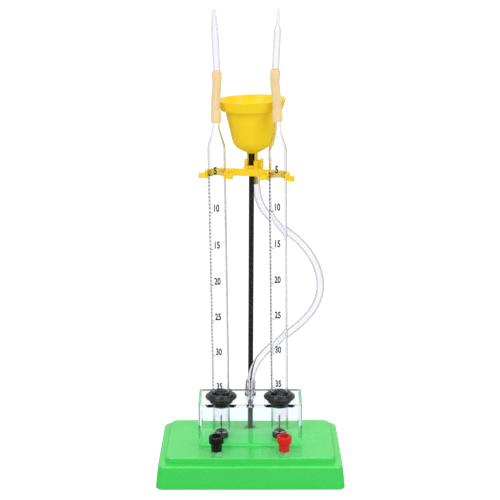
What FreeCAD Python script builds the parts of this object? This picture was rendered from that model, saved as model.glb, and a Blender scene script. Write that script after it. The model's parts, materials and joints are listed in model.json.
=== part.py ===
import FreeCAD, Part
import math
import os
import re
import Sketcher

# Water electrolysis apparatus: a tank on a drafted base, two graduated gas tubes, a funnel on a rod.
# The origin is the middle of the base's underside, +X is to the right, +Y away from the viewer, +Z up.

# Driving dimensions in millimetres and degrees. A text that starts with = is worked out from others.
SIZES = {
    # Base shell
    "base_length": 174,
    "base_width": 103,
    "base_height": 21.4,
    "base_wall": 2.5,
    "base_corner": 7,
    "side_draft": 2.35,
    "ledge_width": 5.8,
    "ledge_round": 2,
    "platform_rise": 5.9,
    "platform_draft": 1,
    "platform_round": 1.6,
    # Closing plate and its screws
    "plate_thickness": 2,
    "plate_gap": 0.5,
    "boss_radius": 3.5,
    "boss_inset": 13,
    "screw_radius": 1.25,
    "screw_length": 10,
    "pilot_depth": 9,
    "screw_head_radius": 2.6,
    "screw_head_height": 1.1,
    "screw_recess": 0.15,
    "screw_play": 0.05,
    # Tank and lid
    "tank_length": 97,
    "tank_depth": 37.3,
    "tank_height": 39.4,
    "tank_wall": 2.5,
    "tank_corner": 0.8,
    "tank_setback": 0.5,
    "lid_thickness": 3,
    "glue_film": 0.02,
    # Grommets that seal the gas tubes in the lid
    "grommet_neck_radius": 10.3,
    "grommet_brim_radius": 14.8,
    "grommet_seat_radius": 13.6,
    "grommet_shoulder_radius": 12.2,
    "grommet_lip_radius": 11.1,
    "grommet_mouth_radius": 9.3,
    "grommet_brim_rise": 0.9,
    "grommet_shoulder_rise": 2.4,
    "grommet_rise": 4,
    "grommet_mouth_depth": 1.6,
    "grommet_mouth_foot": 7.2,
    "grommet_foot_radius": 11,
    "grommet_foot_drop": 4.4,
    "grommet_chamfer": 0.8,
    "grommet_round": 0.35,
    # Gas tubes
    "tube_pitch": 55,
    "tube_radius": 8,
    "tube_wall": 1.2,
    "tube_play": 0.05,
    "tube_dip": 33,
    "tube_body_rise": 238.5,
    "shoulder_rise": 14.5,
    "shoulder_round": 20,
    "neck_radius": 3.1,
    "neck_wall": 0.9,
    "neck_length": 22,
    # Latex sleeves on the tubes' necks
    "sleeve_gap": 7.5,
    "sleeve_middle": 17,
    "sleeve_straight": 3,
    "sleeve_radius": 3.8,
    "sleeve_bore_radius": 2.4,
    "sleeve_wall": 1.2,
    "sleeve_swell": 0.5,
    "sleeve_lower_end": 8.5,
    "sleeve_upper_end": 6.8,
    "sleeve_flare": 2,
    "sleeve_play": 0.05,
    # Glass tips in the sleeves
    "tip_radius": 2.95,
    "tip_wall": 0.8,
    "tip_depth": 8,
    "tip_bore": 0.6,
    "left_tip_body": 40,
    "left_tip_taper": 17,
    "left_tip_nozzle": 2.8,
    "left_nozzle_radius": 1.9,
    "right_tip_body": 43.3,
    "right_tip_taper": 4,
    "right_tip_nozzle": 14,
    "right_nozzle_radius": 1.4,
    # Leans of the sleeves and tips, to the right when positive
    "left_sleeve_lean": 5.7,
    "left_tip_lean": -2.4,
    "right_sleeve_lean": -7.7,
    "right_tip_lean": 2.7,
    # Support rod
    "rod_radius": 2.4,
    "rod_height": 270.2,
    "rod_setback": 24.4,
    "rod_lean": 0.35,
    "rod_tail_radius": 2,
    "rod_tail_length": 9,
    "rod_washer_radius": 5.6,
    "rod_washer_thickness": 0.8,
    "hole_play": 0.15,
    "foot_play": 0.02,
    # Clip bar on the rod
    "bar_rise": 251.9,
    "bar_height": 6.3,
    "bar_web": 2.6,
    "bar_yaw": 9.2,
    "bar_rod_play": 0.3,
    "clip_play": 0.4,
    "clip_wall": 2.4,
    "clip_mouth": 62,
    "lip_length": 7.2,
    "lip_thickness": 2.6,
    "lip_sweep": 20,
    "lip_height": 4.6,
    "hub_radius": 6.6,
    "hub_band": 1,
    "ear_rise": 5.8,
    "ear_slot": 2.9,
    "stem_slot_play": 0.6,
    "knob_radius": 1.9,
    "knob_reach": 10.6,
    # Funnel
    "funnel_wall": 1.7,
    "funnel_rise": 2,
    "funnel_depth": 39.5,
    "funnel_mouth_radius": 24,
    "funnel_bend_radius": 17.2,
    "funnel_bend_rise": 6.5,
    "funnel_floor_radius": 5,
    "funnel_bend_round": 12,
    "funnel_shelf_radius": 27.8,
    "funnel_brim_radius": 31,
    "funnel_brim_height": 7.5,
    "funnel_offset": 1.3,
    "funnel_lean": 1.8,
    "socket_depth": 10.6,
    "socket_play": 0.35,
    "socket_wall": 1.5,
    "socket_seat_play": 0.1,
    "stem_across": 3.4,
    "stem_behind": 5.2,
    "stem_radius": 2.2,
    "stem_bore_radius": 1.3,
    "stem_drop": 30,
    "stem_grip": 9,
    # Hose between the funnel's stem and the nipple
    "hose_radius": 3.5,
    "hose_bore_radius": 2.5,
    "hose_exit": 6.2,
    "hose_entry": 1.5,
    "cuff_wall": 1.25,
    "cuff_length": 12.5,
    # Nipple in the lid
    "nipple_setback": 6,
    "nipple_radius": 3.4,
    "nipple_bore_radius": 2,
    "nipple_play": 0.05,
    "nipple_flange_radius": 5.4,
    "nipple_flange_height": 1.5,
    "nipple_rise": 13.5,
    "nipple_drop": 3,
    # Electrodes
    "electrode_radius": 0.6,
    "electrode_rise": 21.6,
    "electrode_tail_radius": 1.5,
    "electrode_tail_drop": 9,
    "plug_radius": 6.6,
    "plug_top_radius": 5.8,
    "plug_height": 5.4,
    # Binding posts
    "post_pitch": 62.6,
    "post_inset": 12.35,
    "stud_radius": 3,
    "stud_rise": 12.2,
    "stud_drop": 9,
    "socket_radius": 2,
    "socket_length": 12,
    "thread_play": 0.05,
    "seat_flats": 9.4,
    "seat_height": 2.2,
    "cap_gap": 0.3,
    "cap_skirt_radius": 5.15,
    "cap_skirt_height": 6.4,
    "cap_flare": 1.6,
    "cap_grip_radius": 6.9,
    "cap_height": 14.2,
    "cap_chamfer": 0.7,
    "cap_roof": 1.6,
    "cap_recess_radius": 4.2,
    "cap_recess_depth": 1.6,
    "cap_hole_radius": 3.2,
    "cap_notch_radius": 0.55,
    "cap_notches": 20,
    "insert_radius": 4.1,
    "insert_inset": 0.3,
    # Nuts, lugs and leads under the platform
    "nut_height": 2.4,
    "rod_nut_flats": 7,
    "electrode_nut_flats": 5.5,
    "stud_nut_flats": 9,
    "lug_thickness": 0.8,
    "lug_rim": 1.6,
    "lug_tongue": 7,
    "lug_tongue_width": 3,
    "lead_radius": 0.8,
    "lead_play": 0.1,
    "lead_slack": 4,
    "lead_bend_share": 0.3,
    # Heights and places worked out from the sizes above
    "ledge_length": "=base_length - 2 * side_draft",
    "ledge_span": "=base_width - 2 * side_draft",
    "foot_length": "=ledge_length - 2 * ledge_width",
    "foot_span": "=ledge_span - 2 * ledge_width",
    "platform_top": "=base_height + platform_rise",
    "platform_under": "=platform_top - base_wall",
    "boss_across": "=base_length / 2 - boss_inset",
    "boss_along": "=base_width / 2 - boss_inset",
    "post_advance": "=foot_span / 2 - post_inset",
    "tank_foot": "=platform_top + glue_film",
    "lid_under": "=tank_foot + tank_height + glue_film",
    "lid_top": "=lid_under + lid_thickness",
    "tank_floor": "=tank_foot + tank_wall",
    "rod_y": "=tank_setback + rod_setback",
    "rod_foot": "=platform_top + rod_washer_thickness",
    "neck_top": "=tube_body_rise + shoulder_rise + neck_length",
    "sleeve_foot": "=tube_body_rise + shoulder_rise + sleeve_gap",
    "cap_foot": "=platform_top + seat_height + cap_gap",
    "cap_bore_radius": "=insert_radius + thread_play",
    "cap_ceiling": "=cap_height - cap_recess_depth - cap_roof",
    "funnel_top": "=funnel_rise + funnel_depth",
    "nut_top": "=platform_under - lug_thickness",
}

SIDES = {"left": -1, "right": 1}
POSTS = {"black": -1, "red": 1}

# Two places this near each other are the same place
CLOSE = 1e-4
# Each arc of a route takes up this share of the shorter run beside it
ARC_SHARE = 0.45

# Hose route from below the funnel's stem, round behind the right tube, to above the nipple
HOSE_ROUTE = [
    (10.2, 28.6, 247.4),
    (20.0, 25.2, 236.2),
    (33.0, 21.6, 226.8),
    (46.0, 18.6, 217.0),
    (56.8, 16.4, 204.0),
    (64.0, 15.4, 188.6),
    (66.2, 15.0, 171.6),
    (61.6, 14.8, 155.4),
    (51.6, 14.6, 141.8),
    (39.0, 14.4, 130.6),
    (25.0, 14.0, 120.0),
    (13.0, 12.2, 109.6),
    (4.4, 8.9, 98.4),
]

doc = FreeCAD.newDocument("voltameter")
dims = doc.addObject("Spreadsheet::Sheet", "dims")
for row, (alias, size) in enumerate(SIZES.items(), start=1):
    dims.set("A%d" % row, alias.replace("_", " "))
    dims.set("B%d" % row, str(size))
    dims.setAlias("B%d" % row, alias)
doc.recompute()


def bound(expression):
    """Points each size that an expression names at its cell."""
    def cell(word):
        return "dims." + word.group() if word.group() in SIZES else word.group()
    return re.sub(r"[a-z]\w*", cell, expression)


def size(expression):
    """Works an expression out to a plain number."""
    return float(dims.evalExpression(bound(expression)))


def tie(item, field, expression):
    item.setExpression(field, bound(expression))


# Sketch helpers

def new_body(label, place=None):
    made = doc.addObject("PartDesign::Body", label)
    made.Label = label
    if place is not None:
        made.Placement = place
    return made


def new_sketch(owner, name, role="XY_Plane", across="0", setback="0", height="0"):
    """A sketch on an origin plane: flat at a height, or upright with its axis at across, setback."""
    plane = next(item for item in owner.Origin.OriginFeatures if item.Role == role)
    drawn = owner.newObject("Sketcher::SketchObject", "%s_%s" % (owner.Name, name))
    drawn.AttachmentSupport = [(plane, "")]
    drawn.MapMode = "FlatFace"
    offset = (across, setback, height) if role == "XY_Plane" else (across, height, "-(%s)" % setback)
    for axis, shift in zip("xyz", offset):
        tie(drawn, "AttachmentOffset.Base." + axis, shift)
    return drawn


def fix_point(drawn, geometry, vertex, across, up):
    for kind, place in (("DistanceX", across), ("DistanceY", up)):
        index = drawn.addConstraint(Sketcher.Constraint(kind, -1, 1, geometry, vertex, size(place)))
        tie(drawn, "Constraints[%d]" % index, place)


def draw_polygon(drawn, corners):
    """A closed line through corners, each a pair of expressions."""
    places = [FreeCAD.Vector(size(across), size(up), 0) for across, up in corners]
    first = drawn.GeometryCount
    count = len(corners)
    for index in range(count):
        drawn.addGeometry(Part.LineSegment(places[index], places[(index + 1) % count]), False)
    for index in range(count):
        following = first + (index + 1) % count
        drawn.addConstraint(Sketcher.Constraint("Coincident", first + index, 2, following, 1))
    for index, (across, up) in enumerate(corners):
        fix_point(drawn, first + index, 1, across, up)


def draw_circle(drawn, across, up, radius):
    centre = FreeCAD.Vector(size(across), size(up), 0)
    normal = FreeCAD.Vector(0, 0, 1)
    index = drawn.addGeometry(Part.Circle(centre, normal, size(radius)), False)
    fix_point(drawn, index, 3, across, up)
    row = drawn.addConstraint(Sketcher.Constraint("Radius", index, size(radius)))
    tie(drawn, "Constraints[%d]" % row, radius)


def draw_rounded(drawn, length, width, corner):
    """A rectangle round the sketch's origin whose four corners are arcs."""
    across, up, arc = size(length) / 2, size(width) / 2, size(corner)
    quarter = math.pi / 2
    names = ("(%s) / 2" % length, "(%s) / 2" % width)
    for index, (right, top) in enumerate([(1, 1), (-1, 1), (-1, -1), (1, -1)]):
        centre = FreeCAD.Vector(right * (across - arc), top * (up - arc), 0)
        circle = Part.Circle(centre, FreeCAD.Vector(0, 0, 1), arc)
        drawn.addGeometry(Part.ArcOfCircle(circle, index * quarter, (index + 1) * quarter), False)
        fix_point(drawn, index, 3, "%d * (%s - (%s))" % (right, names[0], corner),
                  "%d * (%s - (%s))" % (top, names[1], corner))
    ends = [(geometry.StartPoint, geometry.EndPoint) for geometry in drawn.Geometry]
    for index in range(4):
        following = (index + 1) % 4
        drawn.addGeometry(Part.LineSegment(ends[index][1], ends[following][0]), False)
        if index < 3:
            kind = "Horizontal" if index % 2 == 0 else "Vertical"
            drawn.addConstraint(Sketcher.Constraint(kind, 4 + index))
        drawn.addConstraint(Sketcher.Constraint("Tangent", index, 2, 4 + index, 1))
        drawn.addConstraint(Sketcher.Constraint("Tangent", 4 + index, 2, following, 1))
    row = drawn.addConstraint(Sketcher.Constraint("Radius", 0, arc))
    tie(drawn, "Constraints[%d]" % row, corner)


# Feature helpers

def add_feature(owner, kind, name, drawn=None):
    made = owner.newObject("PartDesign::" + kind, "%s_%s" % (owner.Name, name))
    if drawn is not None:
        made.Profile = drawn
    return made


def extrude(owner, name, drawn, length, kind="Pad", upward=True):
    """Pads or pockets a flat sketch by a length, upward or downward."""
    made = add_feature(owner, kind, name, drawn)
    tie(made, "Length", length)
    made.Reversed = upward if kind == "Pocket" else not upward
    return made


def spin(owner, name, drawn, kind="Revolution"):
    made = add_feature(owner, kind, name, drawn)
    made.ReferenceAxis = (drawn, ["V_Axis"])
    made.Angle = 360
    return made


def turned(label, corners, place=None):
    """A body turned about its own Z axis from corners given as radius and height."""
    made = new_body(label, place)
    drawn = new_sketch(made, "profile", "XZ_Plane")
    draw_polygon(drawn, corners)
    spin(made, "turning", drawn)
    return made


def loft(owner, name, lower, upper, kind="AdditiveLoft"):
    """Joins two rounded rectangles, each a length, a width, a corner and a height."""
    rings = []
    for end, (length, width, corner, height) in (("low", lower), ("high", upper)):
        ring = new_sketch(owner, "%s_%s" % (name, end), height=height)
        draw_rounded(ring, length, width, corner)
        rings.append(ring)
    made = add_feature(owner, kind, name, rings[0])
    made.Sections = rings[1:]
    made.Ruled = True
    return made


def soften(owner, name, radius, wanted):
    """Rounds the edges of the body's last feature that the test wanted accepts."""
    doc.recompute()
    last = owner.Tip
    edges = ["Edge%d" % number for number, edge in enumerate(last.Shape.Edges, start=1) if wanted(edge)]
    made = add_feature(owner, "Fillet", name)
    made.Base = (last, edges)
    tie(made, "Radius", radius)
    return made


def level_at(height):
    """A test for edges that lie level at a height."""
    level = size(height)

    def wanted(edge):
        box = edge.BoundBox
        return abs(box.ZMin - level) < CLOSE and abs(box.ZMax - level) < CLOSE
    return wanted


def ring_at(radius, height):
    """A test for the round edge of one radius at one height on a turned body."""
    across, level = size(radius), size(height)

    def wanted(edge):
        curve = edge.Curve
        if not isinstance(curve, Part.Circle):
            return False
        return abs(curve.Radius - across) < CLOSE and abs(edge.BoundBox.ZMax - level) < CLOSE
    return wanted


def hexagon(drawn, flats):
    """A hexagon round the sketch's origin from its size across the flats."""
    reach = "(%s) / sqrt(3)" % flats
    draw_polygon(drawn, [("%s * cos(%d)" % (reach, turn), "%s * sin(%d)" % (reach, turn))
                         for turn in range(30, 390, 60)])


def hex_nut(label, place, flats, bore, height):
    """A nut whose top face is at its placement."""
    made = new_body(label, place)
    drawn = new_sketch(made, "hexagon")
    hexagon(drawn, flats)
    draw_circle(drawn, "0", "0", bore)
    extrude(made, "nut", drawn, height, upward=False)
    return made


def at(across, setback, height):
    return FreeCAD.Placement(FreeCAD.Vector(size(across), size(setback), size(height)),
                             FreeCAD.Rotation())


def tilt(degrees):
    """A turn that leans a standing piece to the right."""
    return FreeCAD.Placement(FreeCAD.Vector(), FreeCAD.Rotation(FreeCAD.Vector(0, 1, 0), degrees))


def leaning(start, degrees, slope):
    """Stands a piece at a point, leaning to the right by degrees and away from the viewer by a slope."""
    heading = FreeCAD.Vector(math.tan(math.radians(degrees)), slope, 1)
    return FreeCAD.Placement(start, FreeCAD.Rotation(FreeCAD.Vector(0, 0, 1), heading))


def rounded_route(points, name):
    """Straight runs joined by tangent arcs, with the radius of each arc printed."""
    edges, radii = [], []
    start = points[0]
    for before, corner, after in zip(points, points[1:], points[2:]):
        back, onward = before - corner, after - corner
        turn = math.pi - back.getAngle(onward)
        shorter = min(back.Length, onward.Length)
        cut = ARC_SHARE * shorter
        radii.append(cut / math.tan(turn / 2))
        back.normalize()
        onward.normalize()
        entry, leave = corner + back * cut, corner + onward * cut
        middle = back + onward
        middle.normalize()
        centre_distance = radii[-1] / math.cos(turn / 2)
        edges.append(Part.LineSegment(start, entry).toShape())
        edges.append(Part.Arc(entry, corner + middle * (centre_distance - radii[-1]), leave).toShape())
        start = leave
    edges.append(Part.LineSegment(start, points[-1]).toShape())
    wire = Part.Wire(edges)
    print("%s: length %.1f, least radius %.1f, radii %s"
          % (name, wire.Length, min(radii), [round(radius, 1) for radius in radii]))
    return wire


def pipe(wire, radius):
    """A solid round bar along a wire."""
    start = wire.Edges[0]
    heading = start.tangentAt(start.FirstParameter)
    ring = Part.Wire(Part.makeCircle(radius, start.valueAt(start.FirstParameter), heading))
    solid = wire.makePipeShell([ring], True, False)
    ratio = solid.Volume / (math.pi * radius ** 2 * wire.Length)
    print("pipe of radius %.2f holds %.4f of its section times its length" % (radius, ratio))
    return solid


def shape_node(label, shape):
    made = doc.addObject("Part::Feature", label)
    made.Label = label
    made.Shape = shape
    return made


nodes = []

# Base shell: two drafted tiers, hollow from below, with four screw bosses

base = new_body("base_shell")
loft(base, "lower_tier", ("base_length", "base_width", "base_corner", "0"),
     ("ledge_length", "ledge_span", "base_corner", "base_height"))
loft(base, "upper_tier", ("foot_length", "foot_span", "base_corner", "base_height"),
     ("foot_length - 2 * platform_draft", "foot_span - 2 * platform_draft", "base_corner",
      "platform_top"))
soften(base, "platform_edge", "platform_round", level_at("platform_top"))
doc.recompute()
ledge_inner = size("foot_span") / 2


def ledge_rim(edge):
    box = edge.BoundBox
    outside = max(abs(box.YMin), abs(box.YMax)) > ledge_inner + size("ledge_width") / 2
    far = max(abs(box.XMin), abs(box.XMax)) > size("foot_length") / 2 + size("ledge_width") / 2
    return level_at("base_height")(edge) and (outside or far)


soften(base, "ledge_edge", "ledge_round", ledge_rim)
loft(base, "lower_hollow",
     ("base_length - 2 * base_wall", "base_width - 2 * base_wall", "base_corner - base_wall", "0"),
     ("ledge_length - 2 * base_wall", "ledge_span - 2 * base_wall", "base_corner - base_wall",
      "base_height - base_wall"), "SubtractiveLoft")
loft(base, "upper_hollow",
     ("foot_length - 2 * base_wall", "foot_span - 2 * base_wall", "base_corner - base_wall",
      "base_height - base_wall"),
     ("foot_length - 2 * platform_draft - 2 * base_wall",
      "foot_span - 2 * platform_draft - 2 * base_wall", "base_corner - base_wall",
      "platform_under"), "SubtractiveLoft")

CORNERS = [(right, back) for right in (-1, 1) for back in (-1, 1)]


def draw_corner_circles(drawn, radius):
    for right, back in CORNERS:
        draw_circle(drawn, "%d * boss_across" % right, "%d * boss_along" % back, radius)


bosses = new_sketch(base, "boss_rings", height="plate_thickness")
draw_corner_circles(bosses, "boss_radius")
extrude(base, "bosses", bosses, "platform_top - base_wall / 2 - plate_thickness")
pilots = new_sketch(base, "pilot_rings", height="plate_thickness")
draw_corner_circles(pilots, "screw_radius + screw_play")
extrude(base, "pilots", pilots, "pilot_depth", "Pocket")
piercings = new_sketch(base, "piercing_rings", height="platform_top")
draw_circle(piercings, "0", "rod_y", "rod_tail_radius + hole_play")
for sign in SIDES.values():
    draw_circle(piercings, "%d * tube_pitch / 2" % sign, "tank_setback",
                "electrode_tail_radius + hole_play")
    draw_circle(piercings, "%d * post_pitch / 2" % sign, "-post_advance", "stud_radius + hole_play")
extrude(base, "piercings", piercings, "base_wall", "Pocket", upward=False)
nodes.append(base)

# Closing plate with countersunk screws

plate = new_body("base_bottom_plate")
outline = new_sketch(plate, "outline")
draw_rounded(outline, "base_length - 2 * (base_wall + plate_gap)",
             "base_width - 2 * (base_wall + plate_gap)", "base_corner - base_wall - plate_gap")
extrude(plate, "sheet", outline, "plate_thickness")
heads = new_sketch(plate, "head_rings")
draw_corner_circles(heads, "screw_head_radius + hole_play")
extrude(plate, "head_recesses", heads, "screw_recess + screw_head_height", "Pocket")
shanks = new_sketch(plate, "shank_rings")
draw_corner_circles(shanks, "screw_radius + hole_play")
extrude(plate, "shank_holes", shanks, "plate_thickness", "Pocket")
nodes.append(plate)

screws = []
for number, (right, back) in enumerate(CORNERS, start=1):
    pieces = []
    for name, radius, start, height in (
            ("head", "screw_head_radius", "screw_recess", "screw_head_height"),
            ("shank", "screw_radius", "screw_recess", "screw_length")):
        cylinder = doc.addObject("Part::Cylinder", "screw_%s_%d" % (name, number))
        tie(cylinder, "Radius", radius)
        tie(cylinder, "Height", height)
        tie(cylinder, "Placement.Base.x", "%d * boss_across" % right)
        tie(cylinder, "Placement.Base.y", "%d * boss_along" % back)
        tie(cylinder, "Placement.Base.z", start)
        pieces.append(cylinder)
    screw = doc.addObject("Part::Fuse", "screw_%d" % number)
    screw.Base, screw.Tool = pieces
    screws.append(screw)
screw_set = doc.addObject("Part::Compound", "base_screws")
screw_set.Label = "base_screws"
screw_set.Links = screws
nodes.append(screw_set)

# Tank and lid

tank = new_body("tank_body")
walls = new_sketch(tank, "walls", setback="tank_setback", height="tank_foot")
draw_rounded(walls, "tank_length", "tank_depth", "tank_corner")
extrude(tank, "block", walls, "tank_height")
hollow = new_sketch(tank, "hollow", setback="tank_setback", height="tank_floor")
draw_rounded(hollow, "tank_length - 2 * tank_wall", "tank_depth - 2 * tank_wall", "tank_corner")
extrude(tank, "water_space", hollow, "tank_height", "Pocket")
tails = new_sketch(tank, "tail_rings", height="tank_foot")
for sign in SIDES.values():
    draw_circle(tails, "%d * tube_pitch / 2" % sign, "tank_setback",
                "electrode_tail_radius + hole_play")
extrude(tank, "tail_holes", tails, "tank_wall", "Pocket")
nodes.append(tank)

lid = new_body("tank_lid")
cover = new_sketch(lid, "cover", setback="tank_setback", height="lid_under")
draw_rounded(cover, "tank_length", "tank_depth", "tank_corner")
extrude(lid, "sheet", cover, "lid_thickness")
for side, sign in SIDES.items():
    seat = new_sketch(lid, side + "_seat", "XZ_Plane", "%d * tube_pitch / 2" % sign, "tank_setback",
                      "lid_under")
    draw_polygon(seat, [("0", "0"), ("grommet_neck_radius", "0"),
                        ("grommet_seat_radius", "lid_thickness"), ("0", "lid_thickness")])
    spin(lid, side + "_grommet_hole", seat, "Groove")
spigot = new_sketch(lid, "spigot_ring", height="lid_under")
draw_circle(spigot, "0", "nipple_setback", "nipple_radius + nipple_play")
extrude(lid, "spigot_hole", spigot, "lid_thickness", "Pocket")
nodes.append(lid)

# Rod frame: everything on the rod leans with it

rod_frame = at("0", "rod_y", "rod_foot").multiply(tilt(size("rod_lean")))
bar_turn = FreeCAD.Placement(FreeCAD.Vector(0, 0, size("bar_rise")),
                             FreeCAD.Rotation(FreeCAD.Vector(0, 0, 1), -size("bar_yaw")))
bar_frame = rod_frame.multiply(bar_turn)


def tube_frame(sign):
    """Stands a gas tube in its grommet and leans it into the clip of the turned bar."""
    seat = FreeCAD.Vector(sign * size("tube_pitch") / 2, size("tank_setback"), size("lid_top"))
    clip = bar_frame.multVec(FreeCAD.Vector(sign * size("tube_pitch") / 2, -size("rod_setback"),
                                            size("bar_height") / 2))
    heading = (clip - seat).normalize()
    return FreeCAD.Placement(seat, FreeCAD.Rotation(FreeCAD.Vector(0, 0, 1), heading))


# Grommets, gas tubes, latex sleeves and glass tips

for side, sign in SIDES.items():
    frame = tube_frame(sign)
    seat_frame = FreeCAD.Placement(frame.Base, FreeCAD.Rotation())
    ring = turned(side + "_grommet_ring", [
        ("0", "-lid_thickness - grommet_foot_drop"),
        ("grommet_foot_radius - grommet_chamfer", "-lid_thickness - grommet_foot_drop"),
        ("grommet_foot_radius", "-lid_thickness - grommet_foot_drop + grommet_chamfer"),
        ("grommet_foot_radius", "-lid_thickness"),
        ("grommet_neck_radius", "-lid_thickness"),
        ("grommet_seat_radius", "0"),
        ("grommet_brim_radius", "0"),
        ("grommet_brim_radius", "grommet_brim_rise"),
        ("grommet_shoulder_radius", "grommet_shoulder_rise"),
        ("grommet_lip_radius", "grommet_rise"),
        ("grommet_mouth_radius", "grommet_rise"),
        ("grommet_mouth_foot", "grommet_rise - grommet_mouth_depth"),
        ("0", "grommet_rise - grommet_mouth_depth")], seat_frame)
    soften(ring, "rim_rounds", "grommet_round", lambda edge: (
        ring_at("grommet_brim_radius", "0")(edge)
        or ring_at("grommet_brim_radius", "grommet_brim_rise")(edge)
        or ring_at("grommet_lip_radius", "grommet_rise")(edge)
        or ring_at("grommet_mouth_radius", "grommet_rise")(edge)))
    drill = doc.addObject("Part::Cylinder", side + "_grommet_bore")
    tie(drill, "Radius", "tube_radius + tube_play")
    tie(drill, "Height", "tube_dip + tube_body_rise / 2")
    drill.Placement = frame.multiply(at("0", "0", "-tube_dip"))
    grommet = doc.addObject("Part::Cut", side + "_grommet")
    grommet.Label = side + "_grommet"
    grommet.Base, grommet.Tool = ring, drill
    nodes.append(grommet)

    tube = turned(side + "_gas_tube", [
        ("tube_radius", "-tube_dip"),
        ("tube_radius", "tube_body_rise"),
        ("neck_radius", "tube_body_rise + shoulder_rise"),
        ("neck_radius", "neck_top"),
        ("neck_radius - neck_wall", "neck_top"),
        ("neck_radius - neck_wall", "tube_body_rise + shoulder_rise"),
        ("tube_radius - tube_wall", "tube_body_rise"),
        ("tube_radius - tube_wall", "-tube_dip")], frame)
    soften(tube, "outer_shoulder", "shoulder_round", lambda edge: (
        ring_at("tube_radius", "tube_body_rise")(edge)
        or ring_at("neck_radius - neck_wall", "tube_body_rise + shoulder_rise")(edge)))
    soften(tube, "inner_shoulder", "shoulder_round - tube_wall", lambda edge: (
        ring_at("neck_radius", "tube_body_rise + shoulder_rise")(edge)
        or ring_at("tube_radius - tube_wall", "tube_body_rise")(edge)))
    nodes.append(tube)

    # The sleeve follows the neck, leans over its free middle and then follows the tip
    slope = frame.Rotation.multVec(FreeCAD.Vector(0, 0, 1)).y
    bend = frame.multVec(FreeCAD.Vector(0, 0, size("neck_top + sleeve_straight")))
    middle = leaning(bend, size(side + "_sleeve_lean"), slope)
    upper_bend = middle.multVec(FreeCAD.Vector(0, 0, size("sleeve_middle")))
    upper = leaning(upper_bend, size(side + "_tip_lean"), slope)
    tip_frame = upper.multiply(at("0", "0", "sleeve_straight"))
    sleeve_route = [frame.multVec(FreeCAD.Vector(0, 0, size("sleeve_foot"))), bend, upper_bend,
                    tip_frame.multVec(FreeCAD.Vector(0, 0, size("tip_depth")))]
    sleeve_path = rounded_route(sleeve_route, side + "_latex_sleeve")
    lower_frame = frame.multiply(at("0", "0", "sleeve_foot"))
    neck_grip = size("neck_top - sleeve_foot")
    grips = (
        (lower_frame, size("neck_radius"), size("sleeve_lower_end"), neck_grip, 1),
        (tip_frame.multiply(at("0", "0", "tip_depth")), size("tip_radius"),
         size("sleeve_upper_end"), size("tip_depth"), -1))
    sleeve = pipe(sleeve_path, size("sleeve_radius"))
    flares, bores = [], [pipe(sleeve_path, size("sleeve_bore_radius"))]
    for end, glass, length, grip, way in grips:
        axis = end.Rotation.multVec(FreeCAD.Vector(0, 0, way))
        swell = size("sleeve_swell") if way < 0 else 0
        outer = glass + size("sleeve_wall") + swell
        flares.append(Part.makeCylinder(outer, length, end.Base, axis))
        flares.append(Part.makeCone(outer, size("sleeve_radius - sleeve_swell"), size("sleeve_flare"),
                                    end.Base + axis * length, axis))
        bores.append(Part.makeCylinder(glass + size("sleeve_play"), grip, end.Base, axis))
    nodes.append(shape_node(side + "_latex_sleeve", sleeve.fuse(flares).cut(bores)))
    print("%s tip bends at %s" % (side, (bend + upper_bend) * 0.5))

    shoulder = side + "_tip_body"
    nozzle_foot = "%s + %s_tip_taper" % (shoulder, side)
    nozzle_top = "%s + %s_tip_nozzle" % (nozzle_foot, side)
    nozzle = side + "_nozzle_radius"
    tip = turned(side + "_glass_tip", [
        ("tip_radius", "0"),
        ("tip_radius", shoulder),
        (nozzle, nozzle_foot),
        (nozzle, nozzle_top),
        ("tip_bore", nozzle_top),
        ("tip_bore", nozzle_foot),
        ("tip_radius - tip_wall", shoulder),
        ("tip_radius - tip_wall", "0")], tip_frame)
    nodes.append(tip)

# Support rod with its washer and nut

rod = turned("support_rod", [
    ("0", "-rod_tail_length"),
    ("rod_tail_radius", "-rod_tail_length"),
    ("rod_tail_radius", "foot_play"),
    ("rod_radius", "foot_play"),
    ("rod_radius", "rod_height"),
    ("0", "rod_height")], rod_frame)
nodes.append(rod)
washer = turned("rod_washer", [
    ("rod_tail_radius + hole_play", "0"),
    ("rod_washer_radius", "0"),
    ("rod_washer_radius", "rod_washer_thickness"),
    ("rod_tail_radius + hole_play", "rod_washer_thickness")], at("0", "rod_y", "platform_top"))
nodes.append(washer)
nodes.append(hex_nut("rod_nut", at("0", "rod_y", "platform_under"), "rod_nut_flats",
                     "rod_tail_radius + hole_play", "nut_height"))

# Clip bar: a cross piece with two open clips, a hub on the rod and two ears that guide the funnel

bar = new_body("clip_bar", bar_frame)
clip_outer = "tube_radius + clip_play + clip_wall"
clip_inner = "tube_radius + clip_play"
plan = new_sketch(bar, "cross_plan")
web_front = "-rod_setback + tube_radius + clip_play + (clip_wall - bar_web) / 2"
draw_polygon(plan, [
    ("-tube_pitch / 2", web_front), ("tube_pitch / 2", web_front),
    ("tube_pitch / 2", web_front + " + bar_web"), ("hub_radius", web_front + " + bar_web"),
    ("hub_radius", "0"), ("-hub_radius", "0"),
    ("-hub_radius", web_front + " + bar_web"), ("-tube_pitch / 2", web_front + " + bar_web")])
extrude(bar, "cross_piece", plan, "bar_height")
hub = new_sketch(bar, "hub_ring")
draw_circle(hub, "0", "0", "hub_radius")
extrude(bar, "hub", hub, "bar_height + ear_rise")
guard = new_sketch(bar, "stem_guard")
draw_circle(guard, "stem_across", "stem_behind", "hose_radius + stem_slot_play + bar_web")
extrude(bar, "guard", guard, "bar_height + ear_rise")
knob = new_sketch(bar, "knob_plan", height="bar_height")
draw_polygon(knob, [("0", "0"), ("knob_reach - knob_radius", "-knob_radius"),
                    ("knob_reach", "0"), ("knob_reach - knob_radius", "knob_radius")])
extrude(bar, "knob", knob, "ear_rise")
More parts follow.
